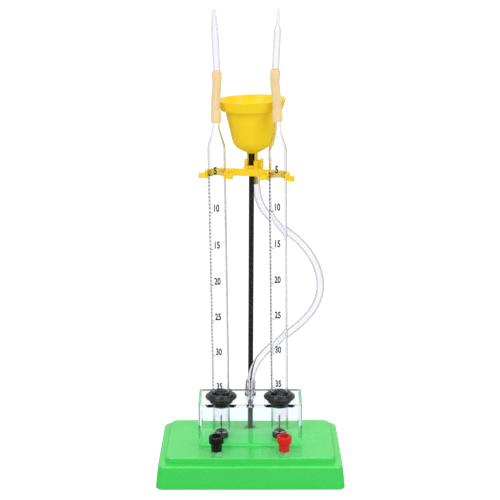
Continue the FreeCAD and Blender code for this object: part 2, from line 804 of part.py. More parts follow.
for side, sign in SIDES.items():
    rings = new_sketch(bar, side + "_clip_ring")
    draw_circle(rings, "%d * tube_pitch / 2" % sign, "-rod_setback", clip_outer)
    extrude(bar, side + "_clip", rings, "bar_height")
    for edge_name, way in (("inner", -sign), ("outer", sign)):
        middle = "(%s + clip_wall / 2)" % clip_inner
        root = ("%d * tube_pitch / 2 + %d * %s * sin(clip_mouth)" % (sign, way, middle),
                "-rod_setback - %s * cos(clip_mouth)" % middle)
        far = (root[0] + " + %d * lip_length * cos(lip_sweep)" % way,
               root[1] + " - lip_length * sin(lip_sweep)")
        slant = ("%d * lip_thickness / 2 * sin(lip_sweep)" % way, "lip_thickness / 2 * cos(lip_sweep)")
        lip = new_sketch(bar, "%s_%s_lip_plan" % (side, edge_name))
        draw_polygon(lip, [
            (root[0] + " - " + slant[0], root[1] + " - " + slant[1]),
            (far[0] + " - " + slant[0], far[1] + " - " + slant[1]),
            (far[0] + " + " + slant[0], far[1] + " + " + slant[1]),
            (root[0] + " + " + slant[0], root[1] + " + " + slant[1])])
        extrude(bar, "%s_%s_lip" % (side, edge_name), lip, "lip_height")
openings = new_sketch(bar, "opening_rings")
for sign in SIDES.values():
    draw_circle(openings, "%d * tube_pitch / 2" % sign, "-rod_setback", clip_inner)
draw_circle(openings, "0", "0", "rod_radius + bar_rod_play")
extrude(bar, "round_openings", openings, "bar_height + ear_rise", "Pocket")
mouths = new_sketch(bar, "mouth_plans")
for sign in SIDES.values():
    centre = "%d * tube_pitch / 2" % sign
    half = "(%s) * sin(clip_mouth)" % clip_inner
    deep = "(%s) * cos(clip_mouth)" % clip_inner
    front = "-rod_setback - (%s)" % clip_outer
    draw_polygon(mouths, [
        (centre, "-rod_setback"),
        ("%s - %s" % (centre, half), "-rod_setback - %s" % deep),
        ("%s - %s" % (centre, half), front),
        ("%s + %s" % (centre, half), front),
        ("%s + %s" % (centre, half), "-rod_setback - %s" % deep)])
extrude(bar, "mouths", mouths, "bar_height", "Pocket")
slot_reach = "stem_behind + 3 * hose_radius"
stem_slot = new_sketch(bar, "stem_slot_plan")
slot_half = "(hose_radius + stem_slot_play)"
draw_polygon(stem_slot, [
    ("stem_across - " + slot_half, "stem_behind"), ("stem_across + " + slot_half, "stem_behind"),
    ("stem_across + " + slot_half, slot_reach), ("stem_across - " + slot_half, slot_reach)])
extrude(bar, "stem_slot", stem_slot, "bar_height + ear_rise", "Pocket")
stem_bore = new_sketch(bar, "stem_bore_ring")
draw_circle(stem_bore, "stem_across", "stem_behind", "hose_radius + stem_slot_play")
extrude(bar, "stem_bore", stem_bore, "bar_height + ear_rise", "Pocket")
window = new_sketch(bar, "window_plan", height="bar_height + hub_band")
draw_polygon(window, [("-ear_slot", "-2 * hub_radius"), ("ear_slot", "-2 * hub_radius"),
                      ("ear_slot", "0"), ("-ear_slot", "0")])
extrude(bar, "front_window", window, "ear_rise", "Pocket")
nest = new_sketch(bar, "nest_ring", height="bar_height + hub_band")
draw_circle(nest, "0", "0", "rod_radius + socket_play + socket_wall + stem_slot_play")
extrude(bar, "funnel_nest", nest, "ear_rise", "Pocket")
nodes.append(bar)

# Funnel: a bowl with a stepped brim, an open-fronted socket on the rod's top and a side stem

socket_middle = at("0", "0", "rod_height + socket_seat_play - socket_depth / 2")
funnel_frame = rod_frame.multiply(socket_middle).multiply(tilt(-size("funnel_lean"))).multiply(
    at("0", "0", "socket_depth / 2"))
funnel = new_body("funnel", funnel_frame)
bowl = new_sketch(funnel, "bowl_profile", "XZ_Plane", "funnel_offset")
bowl_corners = [
    ("0", "funnel_rise - funnel_wall"),
    ("funnel_floor_radius", "funnel_rise - funnel_wall"),
    ("funnel_bend_radius", "funnel_rise + funnel_bend_rise - funnel_wall"),
    ("funnel_mouth_radius", "funnel_top - funnel_wall"),
    ("funnel_shelf_radius", "funnel_top - funnel_wall"),
    ("funnel_brim_radius", "funnel_top + funnel_brim_height"),
    ("funnel_brim_radius - funnel_wall", "funnel_top + funnel_brim_height"),
    ("funnel_shelf_radius - funnel_wall", "funnel_top"),
    ("funnel_mouth_radius - funnel_wall", "funnel_top"),
    ("funnel_bend_radius - funnel_wall", "funnel_rise + funnel_bend_rise"),
    ("funnel_floor_radius - funnel_wall", "funnel_rise"),
    ("0", "funnel_rise")]
draw_polygon(bowl, bowl_corners)
spin(funnel, "bowl", bowl)
soften(funnel, "outer_bend", "funnel_bend_round",
       ring_at("funnel_bend_radius", "funnel_rise + funnel_bend_rise - funnel_wall"))
soften(funnel, "inner_bend", "funnel_bend_round - funnel_wall",
       ring_at("funnel_bend_radius - funnel_wall", "funnel_rise + funnel_bend_rise"))
boss_top = "funnel_rise - funnel_wall / 2"
boss = new_sketch(funnel, "socket_ring", height="-socket_depth")
draw_circle(boss, "0", "0", "rod_radius + socket_play + socket_wall")
extrude(funnel, "socket", boss, "socket_depth + " + boss_top)
stem = new_sketch(funnel, "stem_ring", height="-stem_drop")
draw_circle(stem, "stem_across", "stem_behind", "stem_radius")
extrude(funnel, "stem", stem, "stem_drop + funnel_rise + stem_behind / 2")
stem_hole = new_sketch(funnel, "stem_hole_ring", height="-stem_drop")
draw_circle(stem_hole, "stem_across", "stem_behind", "stem_bore_radius")
extrude(funnel, "stem_hole", stem_hole, "stem_drop + funnel_depth / 2", "Pocket")
rod_hole = new_sketch(funnel, "rod_hole_ring", height="-socket_depth")
draw_circle(rod_hole, "0", "0", "rod_radius + socket_play")
extrude(funnel, "rod_hole", rod_hole, "socket_depth", "Pocket")
channel = new_sketch(funnel, "channel_plan", height="-socket_depth")
draw_polygon(channel, [
    ("-rod_radius - socket_play", "-3 * rod_radius"), ("rod_radius + socket_play", "-3 * rod_radius"),
    ("rod_radius + socket_play", "0"), ("-rod_radius - socket_play", "0")])
extrude(funnel, "channel", channel, "socket_depth", "Pocket")
nodes.append(funnel)

# Nipple in the lid

nipple = turned("hose_nipple", [
    ("nipple_bore_radius", "-lid_thickness - nipple_drop"),
    ("nipple_radius", "-lid_thickness - nipple_drop"),
    ("nipple_radius", "0"),
    ("nipple_flange_radius", "0"),
    ("nipple_flange_radius", "nipple_flange_height"),
    ("nipple_radius", "nipple_flange_height"),
    ("nipple_radius", "nipple_rise"),
    ("nipple_bore_radius", "nipple_rise")], at("0", "nipple_setback", "lid_top"))
nodes.append(nipple)

# Hose: over the stem at its top, over the nipple in a wider cuff at its foot

stem_axis = [funnel_frame.multVec(FreeCAD.Vector(size("stem_across"), size("stem_behind"), height))
             for height in (size("stem_grip - stem_drop"), -size("stem_drop + hose_exit"))]
foot = FreeCAD.Vector(0, size("nipple_setback"), size("lid_top + nipple_flange_height"))
entry = foot + FreeCAD.Vector(0, 0, size("cuff_length + hose_entry"))
route = stem_axis + [FreeCAD.Vector(*point) for point in HOSE_ROUTE] + [entry, foot]
for point in route:
    print("hose point %.1f %.1f %.1f" % tuple(point))
path = rounded_route(route, "supply_hose")
hose_solid = pipe(path, size("hose_radius"))
hose_bore = pipe(path, size("hose_bore_radius"))
cuff_bore_radius = size("nipple_radius + nipple_play")
cuff = Part.makeCylinder(cuff_bore_radius + size("cuff_wall"), size("cuff_length"), foot)
cuff_bore = Part.makeCylinder(cuff_bore_radius, size("cuff_length + nipple_play"), foot)
hose = shape_node("supply_hose", hose_solid.fuse(cuff).cut(hose_bore).cut(cuff_bore).removeSplitter())
nodes.append(hose)

# Electrodes, their plugs, nuts and leads, and the binding posts

for (side, sign), colour in zip(SIDES.items(), POSTS):
    post_x = "%d * post_pitch / 2" % sign
    tube_x = "%d * tube_pitch / 2" % sign
    nodes.append(turned(side + "_electrode", [
        ("0", "-electrode_tail_drop"),
        ("electrode_tail_radius", "-electrode_tail_drop"),
        ("electrode_tail_radius", "0"),
        ("electrode_radius", "0"),
        ("electrode_radius", "electrode_rise"),
        ("0", "electrode_rise")], at(tube_x, "tank_setback", "tank_floor")))
    nodes.append(turned(side + "_electrode_plug", [
        ("electrode_radius + thread_play", "0"),
        ("plug_radius", "0"),
        ("plug_radius", "plug_height - (plug_radius - plug_top_radius)"),
        ("plug_top_radius", "plug_height"),
        ("electrode_radius + thread_play", "plug_height")], at(tube_x, "tank_setback", "tank_floor")))
    nodes.append(hex_nut(side + "_electrode_nut", at(tube_x, "tank_setback", "nut_top"),
                         "electrode_nut_flats", "electrode_tail_radius + thread_play", "nut_height"))

    nodes.append(turned(colour + "_post_stud", [
        ("0", "-base_wall - stud_drop"),
        ("stud_radius", "-base_wall - stud_drop"),
        ("stud_radius", "stud_rise"),
        ("socket_radius", "stud_rise"),
        ("socket_radius", "stud_rise - socket_length"),
        ("0", "stud_rise - socket_length")], at(post_x, "-post_advance", "platform_top")))
    nodes.append(hex_nut(colour + "_post_seat",
                         at(post_x, "-post_advance", "platform_top + seat_height"),
                         "seat_flats", "stud_radius + thread_play", "seat_height"))
    nodes.append(hex_nut(colour + "_post_nut", at(post_x, "-post_advance", "nut_top"),
                         "stud_nut_flats", "stud_radius + thread_play", "nut_height"))

    insert = turned(colour + "_post_insert", [
        ("stud_radius + thread_play", "insert_inset"),
        ("insert_radius", "insert_inset"),
        ("insert_radius", "cap_ceiling - thread_play"),
        ("stud_radius + thread_play", "cap_ceiling - thread_play")],
        at(post_x, "-post_advance", "cap_foot"))
    nodes.append(insert)
    cap = turned(colour + "_post_cap", [
        ("cap_bore_radius", "0"),
        ("cap_skirt_radius", "0"),
        ("cap_skirt_radius", "cap_skirt_height"),
        ("cap_grip_radius", "cap_skirt_height + cap_flare"),
        ("cap_grip_radius", "cap_height - cap_chamfer"),
        ("cap_grip_radius - cap_chamfer", "cap_height"),
        ("cap_recess_radius", "cap_height"),
        ("cap_recess_radius", "cap_height - cap_recess_depth"),
        ("cap_hole_radius", "cap_height - cap_recess_depth"),
        ("cap_hole_radius", "cap_ceiling"),
        ("cap_bore_radius", "cap_ceiling")], at(post_x, "-post_advance", "cap_foot"))
    notch = new_sketch(cap, "notch_ring", height="cap_skirt_height + cap_flare")
    draw_circle(notch, "cap_grip_radius + cap_notch_radius / 4", "0", "cap_notch_radius")
    cutter = extrude(cap, "notch", notch, "cap_height", "Pocket")
    fluting = add_feature(cap, "PolarPattern", "fluting")
    fluting.Originals = [cutter]
    upright = next(item for item in cap.Origin.OriginFeatures if item.Role == "Z_Axis")
    fluting.Axis = (upright, [""])
    fluting.Angle = 360
    tie(fluting, "Occurrences", "cap_notches")
    cap.Tip = fluting
    nodes.append(cap)

    # The lead hangs between two ring lugs clamped under the platform
    ends = [(FreeCAD.Vector(size(tube_x), size("tank_setback"), size("nut_top")),
             size("electrode_tail_radius + hole_play")),
            (FreeCAD.Vector(size(post_x), -size("post_advance"), size("nut_top")),
             size("stud_radius + hole_play"))]
    onward = (ends[1][0] - ends[0][0]).normalize()
    wire_level = FreeCAD.Vector(0, 0, size("lug_thickness - lead_radius - lead_play"))
    lugs, starts = [], []
    for (end, hole), heading in zip(ends, (onward, onward * -1)):
        reach = hole + size("lug_rim")
        edge = FreeCAD.Vector(0, -size("lug_tongue_width") / 2, 0)
        tongue = Part.makeBox(reach + size("lug_tongue"), size("lug_tongue_width"),
                              size("lug_thickness"), edge)
        tongue.Placement = FreeCAD.Placement(end, FreeCAD.Rotation(FreeCAD.Vector(1, 0, 0), heading))
        lug = Part.makeCylinder(reach, size("lug_thickness"), end).fuse(tongue)
        lugs.append(lug.cut(Part.makeCylinder(hole, size("lug_thickness"), end)))
        starts.append(end + heading * (reach + size("lug_tongue") - size("lug_rim")) + wire_level)
    span = starts[1] - starts[0]
    slack = FreeCAD.Vector(0, 0, -size("lead_slack"))
    inset = span * size("lead_bend_share")
    lead_route = [starts[0], starts[0] + inset + slack, starts[1] - inset + slack, starts[1]]
    wire = pipe(rounded_route(lead_route, colour + "_lead"), size("lead_radius"))
    nodes.append(shape_node(colour + "_lead", lugs[0].fuse([lugs[1], wire])))

# Check every object, then write one file for each node

doc.recompute()
for item in doc.Objects:
    bad = {"Invalid", "Error"} & set(item.State)
    if bad:
        raise RuntimeError("%s is %s" % (item.Label, ", ".join(bad)))
for node in nodes:
    if node.Shape.isNull() or not node.Shape.isValid() or not node.Shape.Solids:
        raise RuntimeError("%s has no valid solid" % node.Label)
os.makedirs("parts", exist_ok=True)
for node in nodes:
    node.Shape.exportStep("parts/%s.step" % node.Label)
    box = node.Shape.BoundBox
    print("%-22s solids %d  volume %.1f" % (node.Label, len(node.Shape.Solids), node.Shape.Volume))
    print("    x %.2f %.2f  y %.2f %.2f  z %.2f %.2f"
          % (box.XMin, box.XMax, box.YMin, box.YMax, box.ZMin, box.ZMax))
frames = {"rod": rod_frame, "left tube": tube_frame(-1), "right tube": tube_frame(1)}
for name, frame in frames.items():
    axis = frame.Rotation.multVec(FreeCAD.Vector(0, 0, 1))
    print("%s axis %.6f %.6f %.6f" % (name, axis.x, axis.y, axis.z))
print("%d nodes" % len(nodes))
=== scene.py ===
import json
import math

import bmesh
import bpy
from mathutils import Matrix, Vector


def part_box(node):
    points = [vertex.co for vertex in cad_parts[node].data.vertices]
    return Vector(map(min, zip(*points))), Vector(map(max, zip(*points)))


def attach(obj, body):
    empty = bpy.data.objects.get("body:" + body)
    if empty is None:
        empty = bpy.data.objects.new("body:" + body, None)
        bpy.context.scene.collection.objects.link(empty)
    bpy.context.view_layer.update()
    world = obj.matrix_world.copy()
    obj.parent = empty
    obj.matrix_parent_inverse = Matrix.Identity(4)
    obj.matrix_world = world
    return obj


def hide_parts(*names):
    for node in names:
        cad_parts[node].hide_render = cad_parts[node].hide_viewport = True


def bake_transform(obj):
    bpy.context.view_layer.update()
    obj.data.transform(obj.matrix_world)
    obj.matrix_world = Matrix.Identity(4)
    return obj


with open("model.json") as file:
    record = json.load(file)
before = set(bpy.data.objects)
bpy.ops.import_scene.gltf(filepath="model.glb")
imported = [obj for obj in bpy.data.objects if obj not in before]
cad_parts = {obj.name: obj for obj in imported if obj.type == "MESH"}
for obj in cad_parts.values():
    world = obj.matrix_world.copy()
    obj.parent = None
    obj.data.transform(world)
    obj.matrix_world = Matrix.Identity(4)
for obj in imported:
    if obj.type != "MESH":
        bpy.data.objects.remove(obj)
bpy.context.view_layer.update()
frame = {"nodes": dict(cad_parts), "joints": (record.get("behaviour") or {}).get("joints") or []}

NODES = frame["nodes"]
JOINTS = {joint["name"]: joint for joint in frame["joints"]}
SIDES = {"left": -1, "right": 1}
MM = 0.001
WHITE = (1, 1, 1, 1)

scene = bpy.context.scene
scene.view_settings.view_transform = "Standard"


# Small helpers


def millimetres(*values):
    """A point written in millimetres, in metres."""
    return Vector(values) * MM


def tone(red, green, blue):
    """A colour written as a display shows it, in the linear values that shaders use."""
    def linear(value):
        value /= 255
        return value / 12.92 if value <= 0.04045 else ((value + 0.055) / 1.055) ** 2.4
    return (linear(red), linear(green), linear(blue), 1)


def grey(value):
    """A grey in linear values."""
    return (value, value, value, 1)


def smoothstep(value, low, high):
    """Goes from 0 at low to 1 at high with level ends."""
    share = min(max((value - low) / (high - low), 0), 1)
    return share * share * (3 - 2 * share)


def add_object(name, data):
    """Puts a mesh, lamp or camera into the scene."""
    made = bpy.data.objects.new(name, data)
    scene.collection.objects.link(made)
    return made


# Camera at the photograph's viewing angle

CAMERA_PLACE = (0.00097, -0.96402, 0.48274)
CAMERA_DIP = 0.2723
CAMERA_TURN = 0.0010
CAMERA_ROLL = -0.0017
CAMERA_LENS = 79.33
SENSOR_WIDTH = 36

camera_data = bpy.data.cameras.new("camera")
camera_data.lens = CAMERA_LENS
camera_data.sensor_width = SENSOR_WIDTH
camera = add_object("camera", camera_data)
camera.matrix_world = (
    Matrix.Translation(CAMERA_PLACE)
    @ Matrix.Rotation(CAMERA_TURN, 4, "Z")
    @ Matrix.Rotation(math.pi / 2 - CAMERA_DIP, 4, "X")
    @ Matrix.Rotation(CAMERA_ROLL, 4, "Z"))
scene.camera = camera


# Material nodes

MIX_COLOURS = (6, 7)
MIX_RESULT = 2
GRAIN_SIZE = 0.0006
GRAIN_DEPTH = 0.000008
GLOSS_DRIFT = 0.006
EVEN_FACING = 0.5


class Paint:
    """A node material: makes nodes, links them and keeps the shader at hand."""

    def __init__(self, name, **settings):
        self.material = bpy.data.materials.new(name)
        self.material.use_nodes = True
        self.tree = self.material.node_tree
        self.tree.nodes.clear()
        self.output = self.add("OutputMaterial")
        self.shader = self.add("BsdfPrincipled", **settings)
        self.link(self.shader.outputs["BSDF"], self.output.inputs["Surface"])
        self.place = self.add("TexCoord").outputs["Object"]

    def add(self, kind, **settings):
        """Adds a node and sets the sockets that are named, with blanks for underlines."""
        node = self.tree.nodes.new("ShaderNode" + kind)
        for name, value in settings.items():
            node.inputs[name.replace("_", " ")].default_value = value
        return node

    def link(self, source, target):
        self.tree.links.new(source, target)

    def noise(self, size, detail=2, stretch=(1, 1, 1), roughness=0.5):
        """Noise whose patches are about size metres, drawn out by the stretch."""
        mapping = self.add("Mapping", Scale=tuple(1 / s for s in stretch))
        self.link(self.place, mapping.inputs["Vector"])
        texture = self.add("TexNoise", Scale=1 / size, Detail=detail, Roughness=roughness)
        self.link(mapping.outputs["Vector"], texture.inputs["Vector"])
        return texture.outputs["Fac"]

    def span(self, source, low, high, start=0.3, end=0.7):
        """Takes values from start to end over to values from low to high."""
        node = self.add("MapRange", From_Min=start, From_Max=end, To_Min=low, To_Max=high)
        self.link(source, node.inputs["Value"])
        return node.outputs["Result"]

    def facing(self, blend):
        """Near 0 where the surface faces the viewer and 1 at its silhouette."""
        return self.add("LayerWeight", Blend=blend).outputs["Facing"]

    def colour_by(self, share, first, second):
        """Lets the base colour drift between two tones."""
        node = self.tree.nodes.new("ShaderNodeMix")
        node.data_type = "RGBA"
        self.link(share, node.inputs["Factor"])
        for socket, colour in zip(MIX_COLOURS, (first, second)):
            node.inputs[socket].default_value = colour
        self.link(node.outputs[MIX_RESULT], self.shader.inputs["Base Color"])

    def roughness_by(self, source, low, high):
        """Lets the roughness drift from low to high."""
        self.link(self.span(source, low, high), self.shader.inputs["Roughness"])

    def bump(self, source, depth, edge=0):
        """Raises the surface by the source, depth metres at most, and may round its edges."""
        node = self.add("Bump", Strength=1, Distance=depth)
        self.link(source, node.inputs["Height"])
        if edge:
            rounded = self.add("Bevel", Radius=edge)
            self.link(rounded.outputs["Normal"], node.inputs["Normal"])
        self.link(node.outputs["Normal"], self.shader.inputs["Normal"])

    def lets_lamps_through(self):
        """Shadow rays pass straight through, so that lamps reach what is behind."""
        clear = self.add("BsdfTransparent", Color=WHITE)
        mix = self.add("MixShader")
        self.link(self.add("LightPath").outputs["Is Shadow Ray"], mix.inputs["Fac"])
        self.link(self.shader.outputs["BSDF"], mix.inputs[1])
        self.link(clear.outputs["BSDF"], mix.inputs[2])
        self.link(mix.outputs["Shader"], self.output.inputs["Surface"])

    def absorbs(self, tint, density):
        """Light that crosses the material takes on a tint with the distance."""
        volume = self.add("VolumeAbsorption", Color=tint, Density=density)
        self.link(volume.outputs["Volume"], self.output.inputs["Volume"])


def moulded(name, colour, second, roughness, specular=0.5, patch=0.03,
            grain=GRAIN_DEPTH, edge=0.0003):
    """Moulded plastic: a slow drift of colour, a fine grain and a gloss that varies."""
    paint = Paint(name, Specular_IOR_Level=specular)
    paint.colour_by(paint.noise(patch, detail=3), colour, second)
    paint.roughness_by(paint.noise(patch / 4, detail=4), roughness * 0.85, roughness * 1.2)
    paint.bump(paint.noise(GRAIN_SIZE, detail=3), grain, edge)
    return paint.material


def turned_metal(name, colour, second, roughness, streak=0.00025):
    """Bright metal with fine turning marks round it."""
    paint = Paint(name, Metallic=1)
    marks = paint.noise(streak, detail=3, stretch=(12, 12, 1))
    paint.colour_by(paint.noise(0.004, detail=3), colour, second)
    paint.roughness_by(marks, roughness * 0.7, roughness * 1.5)
    paint.bump(marks, GRAIN_DEPTH, 0.00015)
    return paint.material


def clear_material(name, tints, edge, ior, absorbed, density, patch, stretch=(1, 1, 1),
                   roughness=0.0, wave=0.0):
    """Glass or clear plastic: the first tint face on, the second towards its silhouette. A dark
    grey second tint is painted shade for the dark edges that glass shows.
    """
    paint = Paint(name, Transmission_Weight=1, IOR=ior)
    paint.colour_by(paint.span(paint.facing(EVEN_FACING), 0, 1, *edge), *tints)
    marks = paint.noise(patch, detail=2, stretch=stretch)
    paint.roughness_by(marks, roughness, roughness + GLOSS_DRIFT)
    if wave:
        paint.bump(marks, wave)
    paint.lets_lamps_through()
    paint.absorbs(absorbed, density)
    return paint.material


def make_latex():
    """Latex: warm, waxy and a little translucent, with faint lengthwise streaks."""
    paint = Paint("latex_rubber", Subsurface_Weight=0.35, Subsurface_Scale=0.004,
                  Subsurface_Radius=(1, 0.6, 0.3), Specular_IOR_Level=0.3)
    streaks = paint.noise(0.0016, detail=3, stretch=(1, 1, 12))
    paint.colour_by(streaks, tone(246, 206, 152), tone(249, 216, 168))
    paint.roughness_by(paint.noise(0.003, detail=3), 0.45, 0.6)
    paint.bump(streaks, 0.00005)
    return paint.material


def make_black_rubber():
    """Rubber of the grommets and plugs: near black, with a dusty bloom and a soft gloss."""
    paint = Paint("grommet_rubber", Specular_IOR_Level=0.35)
    bloom = paint.noise(0.002, detail=5, roughness=0.7)
    paint.colour_by(bloom, tone(8, 11, 12), tone(15, 19, 21))
    paint.roughness_by(paint.noise(0.004, detail=3), 0.18, 0.3)
    paint.bump(bloom, GRAIN_DEPTH, 0.0003)
    return paint.material


def make_funnel_yellow():
    """Funnel: warm yellow plastic, faint rings of the turning of its mould."""
    paint = Paint("funnel_yellow", Specular_IOR_Level=0.3, Subsurface_Weight=0.12,
                  Subsurface_Scale=0.003, Subsurface_Radius=(1, 0.7, 0.2))
    rings = paint.noise(0.0005, detail=2, stretch=(60, 60, 1))
    paint.colour_by(paint.noise(0.02, detail=3), tone(247, 208, 6), tone(250, 217, 16))
    paint.roughness_by(paint.noise(0.006, detail=3), 0.26, 0.36)
    paint.bump(rings, 0.00003, 0.0003)
    return paint.material


def make_print_ink():
    """Printed marks: black ink, a little worn through."""
    paint = Paint("print_ink", Specular_IOR_Level=0.3)
    wear = paint.noise(0.0004, detail=4, roughness=0.7)
    paint.colour_by(wear, tone(24, 24, 26), tone(40, 40, 43))
    paint.roughness_by(paint.noise(0.001, detail=2), 0.45, 0.6)
    paint.bump(wear, 0.000005)
    return paint.material


GLASS_BODY = tone(205, 208, 212)

# The tubes' and tips' dark grey second tints are painted shade: the dark edges of glass, painted
# at the silhouette.
TUBE_GLASS = clear_material(
    "tube_glass", (tone(253, 253, 255), tone(120, 121, 127)), (0.45, 0.8),
    ior=1.47, absorbed=GLASS_BODY, density=30, patch=0.004, stretch=(1, 1, 40))
TIP_GLASS = clear_material(
    "tip_glass", (tone(251, 251, 254), tone(138, 139, 148)), (0.3, 0.7),
    ior=1.47, absorbed=GLASS_BODY, density=60, patch=0.004, stretch=(1, 1, 30))
ACRYLIC = clear_material(
    "tank_acrylic", (tone(246, 249, 252), tone(232, 242, 240)), (0.8, 0.95),
    ior=1.49, absorbed=tone(172, 205, 190), density=7, patch=0.02)
# The nipple's grey-green second tint is partly its own tint and partly painted shade at its
# silhouette.
NIPPLE_PLASTIC = clear_material(
    "nipple_plastic", (tone(248, 251, 250), tone(200, 214, 208)), (0.4, 0.9),
    ior=1.5, absorbed=tone(176, 196, 188), density=25, patch=0.003, stretch=(1, 1, 4),
    roughness=0.03)
# The hose's dark grey second tint is painted shade at its silhouette.
HOSE_PVC = clear_material(
    "hose_pvc", (tone(250, 250, 252), tone(92, 93, 99)), (0.3, 0.65),
    ior=1.5, absorbed=tone(196, 199, 206), density=120, patch=0.012,
    roughness=0.01, wave=0.00001)
GREEN_PLASTIC = moulded("base_green", tone(50, 212, 80), tone(58, 217, 88), 0.24,
                        specular=1.0, patch=0.05, grain=GRAIN_DEPTH / 2, edge=0.0005)
# The glue sheet is painted a lighter green than the base: painted light that makes up for the
# light the acrylic floor takes away.
GLUE_GREEN_PAINTED_LIGHT = moulded("glue_green_painted_lighter", tone(92, 236, 120), tone(100, 240, 130), 0.5,
               specular=0.1, patch=0.05)
INK = make_print_ink()
LATEX = make_latex()

FINISHES = (
    (GREEN_PLASTIC, ("base_shell",)),
    (moulded("plate_dark", tone(38, 42, 40), tone(48, 52, 50), 0.5), ("base_bottom_plate",)),
    (ACRYLIC, ("tank_body", "tank_lid")),
    (make_black_rubber(), ("left_grommet", "right_grommet", "left_electrode_plug",
                           "right_electrode_plug")),
    (TUBE_GLASS, ("left_gas_tube", "right_gas_tube")),
    (TIP_GLASS, ("left_glass_tip", "right_glass_tip")),
    (NIPPLE_PLASTIC, ("hose_nipple", "rod_washer")),
    (make_funnel_yellow(), ("funnel",)),
    (moulded("bar_yellow", tone(246, 208, 22), tone(250, 216, 34), 0.32, specular=0.3,
             patch=0.012),
     ("clip_bar",)),
    (moulded("rod_black", tone(31, 31, 32), tone(38, 38, 39), 0.42, specular=0.25, patch=0.02),
     ("support_rod",)),
    (turned_metal("bright_metal", tone(206, 208, 210), tone(222, 223, 225), 0.25),
     ("base_screws", "rod_nut", "black_post_seat", "red_post_seat", "black_post_nut",
      "red_post_nut", "left_electrode_nut", "right_electrode_nut")),
    (turned_metal("brass", tone(214, 178, 96), tone(226, 194, 118), 0.28),
     ("black_post_stud", "red_post_stud", "black_post_insert", "red_post_insert")),
    (moulded("electrode_carbon", tone(62, 68, 64), tone(78, 84, 78), 0.45, patch=0.003),
     ("left_electrode", "right_electrode")),
    (moulded("cap_black", tone(12, 17, 17), tone(20, 26, 25), 0.32, specular=0.35, patch=0.006),
     ("black_post_cap",)),
    (moulded("lead_black", tone(20, 20, 22), tone(28, 28, 30), 0.45, patch=0.004),
     ("black_lead",)),
    (moulded("cap_red", tone(217, 20, 14), tone(224, 29, 20), 0.32, specular=0.35, patch=0.006),
     ("red_post_cap",)),
    (moulded("lead_red", tone(196, 26, 26), tone(208, 36, 34), 0.45, patch=0.004),
     ("red_lead",)),
)
for material, node_names in FINISHES:
    for node_name in node_names:
        for slot in NODES[node_name].material_slots:
            slot.material = material


# Tubes swept along smooth lines

SHARP_ANGLE = 50


def spline_points(controls, resolution):
    """Points along the smooth line that the control points lead."""
    data = bpy.data.curves.new("guide", "CURVE")
    data.dimensions = "3D"
    spline = data.splines.new("NURBS")
    spline.points.add(len(controls) - 1)
    for point, place in zip(spline.points, controls):
        point.co = (*place, 1)
    spline.order_u = 3
    spline.use_endpoint_u = True
    spline.resolution_u = resolution
    guide = bpy.data.objects.new("guide", data)
    line = bpy.data.meshes.new_from_object(guide)
    points = [vertex.co.copy() for vertex in line.vertices]
    bpy.data.objects.remove(guide)
    bpy.data.curves.remove(data)
    bpy.data.meshes.remove(line)
    return points


def distances(points):
    """How far along the line each of its points is."""
    travelled = [0.0]
    for start, end in zip(points, points[1:]):
        travelled.append(travelled[-1] + (end - start).length)
    return travelled


def hollow_sweep(name, points, outer, bore, sides=40):
    """A closed tube along a line; outer and bore give its radii at a distance along it."""
    mesh = bpy.data.meshes.new(name)
    work = bmesh.new()
    across = Vector((0, 1, 0))
    angles = [2 * math.pi * side / sides for side in range(sides)]
    skins = ([], [])
    for index, (point, distance) in enumerate(zip(points, distances(points))):
        ahead = points[min(index + 1, len(points) - 1)] - points[max(index - 1, 0)]
        ahead.normalize()
        across = (across - across.dot(ahead) * ahead).normalized()
        beside = ahead.cross(across)
        for rings, radius in zip(skins, (outer(distance), bore(distance))):
            ring = [point + radius * (math.cos(angle) * across + math.sin(angle) * beside)
                    for angle in angles]
            rings.append([work.verts.new(place) for place in ring])
    rings = skins[0] + skins[1][::-1]
    for ring, following in zip(rings, rings[1:] + rings[:1]):
        for side in range(sides):
            after = (side + 1) % sides
            work.faces.new((ring[side], ring[after], following[after], following[side]))
    bmesh.ops.recalc_face_normals(work, faces=work.faces)
    work.to_mesh(mesh)
    work.free()
    mesh.shade_smooth()
    mesh.set_sharp_from_angle(angle=math.radians(SHARP_ANGLE))
    return add_object(name, mesh)


# Hose from the funnel's stem, round behind the right tube, to the nipple

HOSE_ROUTE = [
    (5.4, 30.1, 277.5),
    (5.8, 30.1, 262.3),
    (10.2, 28.6, 247.4),
    (20.0, 25.2, 236.2),
    (33.0, 21.6, 226.8),
    (46.0, 18.6, 217.0),
    (56.8, 16.4, 204.0),
    (64.0, 15.4, 188.6),
    (66.2, 15.0, 171.6),
    (61.6, 14.8, 155.4),
    (51.6, 14.6, 141.8),
    (39.0, 14.4, 130.6),
    (25.0, 14.0, 120.0),
    (13.0, 12.2, 109.6),
    (4.4, 8.9, 98.4),
    (0.0, 6.0, 85.2),
    (0.0, 6.0, 71.24),
]
HOSE_STEPS = 20
HOSE_RADIUS = 3.5 * MM
HOSE_BORE = 2.5 * MM
CUFF_RADIUS = 4.7 * MM
CUFF_BORE = 3.45 * MM
CUFF_LENGTH = 12.0 * MM
CUFF_TAPER = 1.6 * MM

hose_points = spline_points([millimetres(*point) for point in HOSE_ROUTE], HOSE_STEPS)
hose_run = distances(hose_points)[-1]


def hose_flare(distance):
    """1 over the nipple, 0 on the free hose."""
    return smoothstep(distance, hose_run - CUFF_LENGTH - CUFF_TAPER, hose_run - CUFF_LENGTH)


hose = hollow_sweep(
    "clear_supply_hose", hose_points,
    lambda d: HOSE_RADIUS + (CUFF_RADIUS - HOSE_RADIUS) * hose_flare(d),
    lambda d: HOSE_BORE + (CUFF_BORE - HOSE_BORE) * hose_flare(d))
hose.data.materials.append(HOSE_PVC)
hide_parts("supply_hose")
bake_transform(hose)


